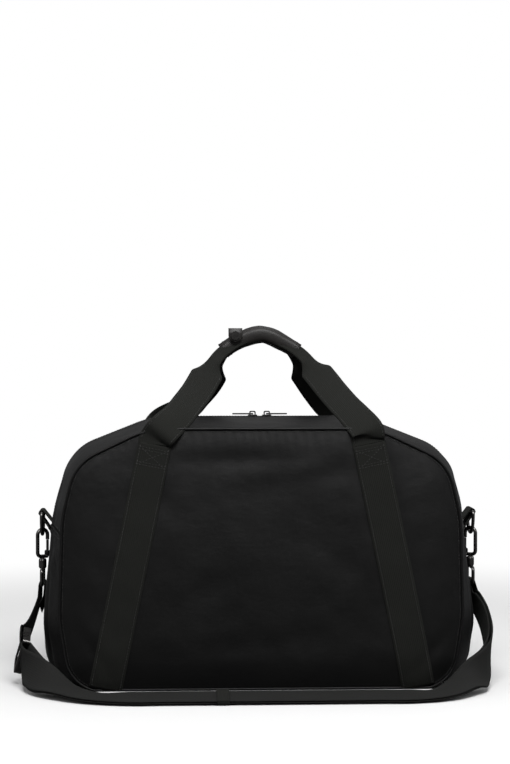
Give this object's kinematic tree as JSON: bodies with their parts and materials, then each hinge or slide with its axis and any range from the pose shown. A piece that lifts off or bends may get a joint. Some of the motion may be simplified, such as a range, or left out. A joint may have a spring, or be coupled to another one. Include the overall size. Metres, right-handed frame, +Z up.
{
  "type": "weekender bag",
  "caption": "Soft nylon weekender bag with two webbing handles, a two-slider zip and a shoulder strap on snap hooks.",
  "frame": {"origin": "centre of the base, on the surface it stands on", "axes": "+X along the bag's length to the right seen from the front, +Y to the back, +Z up"},
  "size_m": [0.5582, 0.3208, 0.4189],
  "materials": {
    "nylon": "satin coated nylon",
    "webbing": "matt ribbed webbing",
    "zip_tape": "matt woven tape",
    "zip_teeth": "satin nylon coil",
    "lining": "matt polyester",
    "board": "matt",
    "wrap": "smooth soft wrap",
    "gunmetal": "polished gunmetal plating"
  },
  "bodies": {
    "bag": {"front_panel": "nylon", "back_panel": "nylon", "top_gusset_front": "nylon", "top_gusset_back": "nylon", "end_gusset_left": "nylon", "end_gusset_right": "nylon", "base_panel": "nylon", "lining": "lining", "base_board": "board", "zip_tape_front": "zip_tape", "zip_tape_back": "zip_tape", "zip_teeth_front": "zip_teeth", "zip_teeth_back": "zip_teeth", "sewn_webbing_front_left": "webbing", "sewn_webbing_front_right": "webbing", "sewn_webbing_back_left": "webbing", "sewn_webbing_back_right": "webbing", "side_tab_left": "webbing", "side_tab_right": "webbing"},
    "handle_front": {"handle_front": "webbing", "handle_wrap": "wrap", "snap_stud": "gunmetal"},
    "handle_back": {"handle_back": "webbing"},
    "snap_tab": {"snap_tab": "wrap", "snap_cap": "gunmetal"},
    "shoulder_strap": {"shoulder_strap": "webbing", "hook_base_left": "gunmetal", "hook_base_right": "gunmetal"},
    "strap_adjuster": {"strap_adjuster": "gunmetal", "adjuster_bar": "gunmetal"},
    "strap_keeper": {"strap_keeper": "webbing"},
    "zip_slider_left": {"zip_slider_left": "gunmetal"},
    "zip_pull_left": {"zip_pull_left": "gunmetal"},
    "d_ring_left": {"d_ring_left": "gunmetal"},
    "hook_head_left": {"hook_head_left": "gunmetal", "gate_pin_left": "gunmetal"},
    "hook_gate_left": {"hook_gate_left": "gunmetal"},
    "zip_slider_right": {"zip_slider_right": "gunmetal"},
    "zip_pull_right": {"zip_pull_right": "gunmetal"},
    "d_ring_right": {"d_ring_right": "gunmetal"},
    "hook_head_right": {"hook_head_right": "gunmetal", "gate_pin_right": "gunmetal"},
    "hook_gate_right": {"hook_gate_right": "gunmetal"}
  },
  "joints": [
    {"name": "zip_slider_left_slide", "type": "slide", "parent": "bag", "child": "zip_slider_left", "axis": [-1, 0, 0], "range_m": [0, 0.09]},
    {"name": "zip_pull_left_hinge", "type": "hinge", "parent": "zip_slider_left", "child": "zip_pull_left", "pos_m": [-0.006, 0, 0.31085], "axis": [0, 1, 0], "range_deg": [0, 105]},
    {"name": "d_ring_left_swing", "type": "hinge", "parent": "bag", "child": "d_ring_left", "pos_m": [-0.2545, 0, 0.195], "axis": [0, 1, 0], "range_deg": [-2, 2]},
    {"name": "hook_left_swivel", "type": "hinge", "parent": "shoulder_strap", "child": "hook_head_left", "pos_m": [-0.2545, 0, 0.1404], "axis": [0, 0, 1], "range_deg": [-25, 3]},
    {"name": "hook_gate_left_hinge", "type": "hinge", "parent": "hook_head_left", "child": "hook_gate_left", "pos_m": [-0.24893, 0.0039, 0.1474], "axis": [0.5736, -0.8192, 0], "range_deg": [0, 20], "stiffness_Nm_per_rad": 0.03, "springref_deg": -34.38},
    {"name": "zip_slider_right_slide", "type": "slide", "parent": "bag", "child": "zip_slider_right", "axis": [1, 0, 0], "range_m": [0, 0.09]},
    {"name": "zip_pull_right_hinge", "type": "hinge", "parent": "zip_slider_right", "child": "zip_pull_right", "pos_m": [0.011, 0, 0.31085], "axis": [0, -1, 0], "range_deg": [0, 105]},
    {"name": "d_ring_right_swing", "type": "hinge", "parent": "bag", "child": "d_ring_right", "pos_m": [0.2545, 0, 0.195], "axis": [0, 1, 0], "range_deg": [-2, 2]},
    {"name": "hook_right_swivel", "type": "hinge", "parent": "shoulder_strap", "child": "hook_head_right", "pos_m": [0.2545, 0, 0.1404], "axis": [0, 0, 1], "range_deg": [-3, 25]},
    {"name": "hook_gate_right_hinge", "type": "hinge", "parent": "hook_head_right", "child": "hook_gate_right", "pos_m": [0.24893, 0.0039, 0.1474], "axis": [0.5736, 0.8192, 0], "range_deg": [0, 20], "stiffness_Nm_per_rad": 0.03, "springref_deg": -34.38},
    {"name": "handle_front_fold", "type": "hinge", "parent": "bag", "child": "handle_front", "pos_m": [0, -0.107, 0.297], "axis": [1, 0, 0], "range_deg": [0, 188], "deforming": ["handle_wrap"]},
    {"name": "handle_back_fold", "type": "hinge", "parent": "bag", "child": "handle_back", "pos_m": [0, 0.107, 0.297], "axis": [-1, 0, 0], "range_deg": [0, 188], "deforming": ["handle_wrap"]},
    {"name": "snap_tab_hinge", "type": "hinge", "parent": "handle_front", "child": "snap_tab", "pos_m": [-0.027, -0.0201, 0.4157], "axis": [-1, 0, 0], "range_deg": [0, 110]},
    {"name": "shoulder_strap_swing", "type": "hinge", "parent": "bag", "child": "shoulder_strap", "pos_m": [0, 0, 0.191], "axis": [-1, 0, 0], "range_deg": [0, 45]},
    {"name": "strap_keeper_slide", "type": "slide", "parent": "shoulder_strap", "child": "strap_keeper", "axis": [1, 0, 0], "range_m": [-0.09, 0.19]},
    {"name": "strap_adjuster_slide", "type": "slide", "parent": "shoulder_strap", "child": "strap_adjuster", "axis": [0.0113, -0.9011, -0.4334], "range_m": [-0.01, 0.01]}
  ]
}
